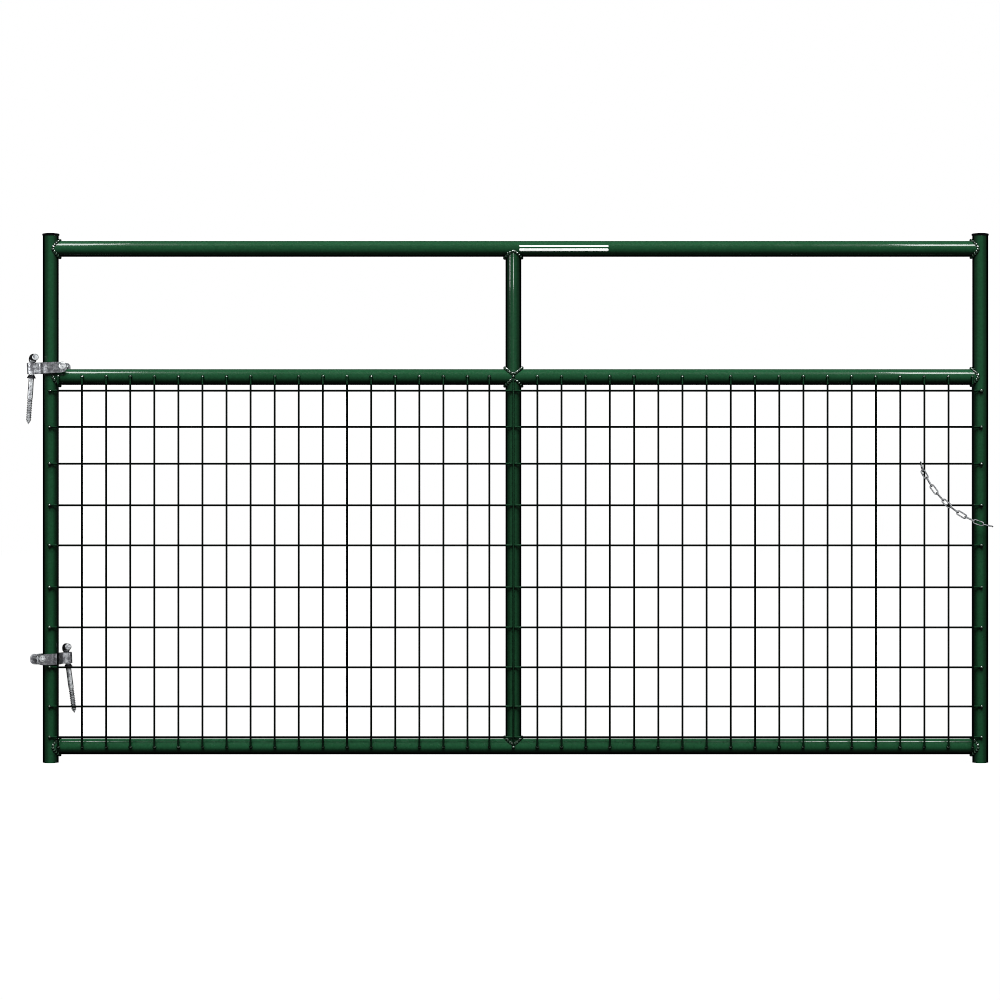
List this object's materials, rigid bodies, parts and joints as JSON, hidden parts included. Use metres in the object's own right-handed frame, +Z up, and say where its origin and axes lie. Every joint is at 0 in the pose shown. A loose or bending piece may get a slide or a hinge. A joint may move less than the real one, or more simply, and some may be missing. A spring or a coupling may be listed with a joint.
{
  "type": "livestock panel gate",
  "caption": "Round-tube livestock gate with a welded wire lower panel, strap-and-screw-hook hinges and a chain latch.",
  "frame": {"origin": "on the hinge upright's axis at the plane of its open foot", "axes": "+X from the hinge upright to the latch upright, +Z up, -Y out of the front, where the wire panel is"},
  "size_m": [2.314, 0.0894, 1.27],
  "materials": {
    "green_powder_coat": "gloss powder coat",
    "black_plastic": "satin moulded",
    "white_decal": "printed film",
    "zinc_plated_steel": "bright zinc plate",
    "dark_steel": "dark oiled",
    "bright_chain": "bright zinc plate"
  },
  "bodies": {
    "frame": {"hinge_upright": "green_powder_coat", "latch_upright": "green_powder_coat", "top_rail": "green_powder_coat", "middle_rail": "green_powder_coat", "bottom_rail": "green_powder_coat", "centre_stile_upper": "green_powder_coat", "centre_stile_lower": "green_powder_coat", "hinge_side_welds": "green_powder_coat", "latch_side_welds": "green_powder_coat", "centre_stile_welds": "green_powder_coat", "horizontal_wires": "green_powder_coat", "vertical_wires_hinge_bay": "green_powder_coat", "vertical_wires_latch_bay": "green_powder_coat", "horizontal_wire_tacks": "green_powder_coat", "vertical_wire_tacks": "green_powder_coat", "hinge_upright_cap": "black_plastic", "latch_upright_cap": "black_plastic", "top_rail_decal": "white_decal"},
    "upper_strap": {"upper_hinge_strap": "zinc_plated_steel", "upper_hinge_bolt": "zinc_plated_steel", "upper_hinge_nut": "zinc_plated_steel"},
    "upper_hook": {"upper_screw_hook": "zinc_plated_steel", "upper_hook_collar": "dark_steel"},
    "lower_strap": {"lower_hinge_strap": "zinc_plated_steel", "lower_hinge_bolt": "zinc_plated_steel", "lower_hinge_nut": "zinc_plated_steel"},
    "lower_hook": {"lower_screw_hook": "zinc_plated_steel", "lower_hook_collar": "dark_steel"},
    "chain_link_01": {"chain_link_01": "bright_chain"},
    "chain_link_02": {"chain_link_02": "bright_chain"},
    "chain_link_03": {"chain_link_03": "bright_chain"},
    "chain_link_04": {"chain_link_04": "bright_chain"},
    "chain_link_05": {"chain_link_05": "bright_chain"},
    "chain_link_06": {"chain_link_06": "bright_chain"},
    "chain_link_07": {"chain_link_07": "bright_chain"},
    "chain_link_08": {"chain_link_08": "bright_chain"},
    "chain_link_09": {"chain_link_09": "bright_chain"},
    "chain_link_10": {"chain_link_10": "bright_chain"},
    "chain_link_11": {"chain_link_11": "bright_chain"}
  },
  "joints": [
    {"name": "upper_strap_turn", "type": "hinge", "parent": "frame", "child": "upper_strap", "pos_m": [0, 0, 0.9468], "axis": [0, 0, 1], "range_deg": [-2, 8]},
    {"name": "upper_hook_turn", "type": "hinge", "parent": "upper_strap", "child": "upper_hook", "pos_m": [-0.04273, -0.00504, 0.97191], "axis": [0.0663, 0, 0.9978], "range_deg": [-239, 36]},
    {"name": "lower_strap_turn", "type": "hinge", "parent": "frame", "child": "lower_strap", "pos_m": [0, 0, 0.2486], "axis": [0, 0, 1], "range_deg": [-9, 27]},
    {"name": "lower_hook_turn", "type": "hinge", "parent": "lower_strap", "child": "lower_hook", "pos_m": [0.0321, 0.02724, 0.27649], "axis": [-0.1305, 0, 0.9914], "range_deg": [-23, 248]},
    {"name": "chain_link_01_swing", "type": "hinge", "parent": "frame", "child": "chain_link_01", "pos_m": [2.0856, -0.02147, 0.7166], "axis": [-1, 0, 0], "range_deg": [0, 45]},
    {"name": "chain_link_02_swing", "type": "hinge", "parent": "chain_link_01", "child": "chain_link_02", "pos_m": [2.08878, -0.03279, 0.69854], "axis": [0, 1, 0], "range_deg": [-30, 30]},
    {"name": "chain_link_03_swing", "type": "hinge", "parent": "chain_link_02", "child": "chain_link_03", "pos_m": [2.0968, -0.0445, 0.68134], "axis": [-0.9063, 0, -0.4226], "range_deg": [0, 30]},
    {"name": "chain_link_04_swing", "type": "hinge", "parent": "chain_link_03", "child": "chain_link_04", "pos_m": [2.10848, -0.0445, 0.66232], "axis": [0, 1, 0], "range_deg": [-30, 30]},
    {"name": "chain_link_05_swing", "type": "hinge", "parent": "chain_link_04", "child": "chain_link_05", "pos_m": [2.12169, -0.0445, 0.64436], "axis": [-0.8056, 0, -0.5925], "range_deg": [0, 30]},
    {"name": "chain_link_06_swing", "type": "hinge", "parent": "chain_link_05", "child": "chain_link_06", "pos_m": [2.13688, -0.0445, 0.628], "axis": [0, 1, 0], "range_deg": [-30, 30]},
    {"name": "chain_link_07_swing", "type": "hinge", "parent": "chain_link_06", "child": "chain_link_07", "pos_m": [2.15336, -0.0445, 0.61298], "axis": [-0.6734, 0, -0.7392], "range_deg": [0, 30]},
    {"name": "chain_link_08_swing", "type": "hinge", "parent": "chain_link_07", "child": "chain_link_08", "pos_m": [2.17147, -0.0445, 0.59993], "axis": [0, 1, 0], "range_deg": [-30, 30]},
    {"name": "chain_link_09_swing", "type": "hinge", "parent": "chain_link_08", "child": "chain_link_09", "pos_m": [2.19058, -0.0445, 0.58844], "axis": [-0.515, 0, -0.8572], "range_deg": [0, 30]},
    {"name": "chain_link_10_swing", "type": "hinge", "parent": "chain_link_09", "child": "chain_link_10", "pos_m": [2.2109, -0.0445, 0.5792], "axis": [0, 1, 0], "range_deg": [-30, 30]},
    {"name": "chain_link_11_swing", "type": "hinge", "parent": "chain_link_10", "child": "chain_link_11", "pos_m": [2.2319, -0.0445, 0.57169], "axis": [-0.3365, 0, -0.9417], "range_deg": [0, 30]}
  ]
}
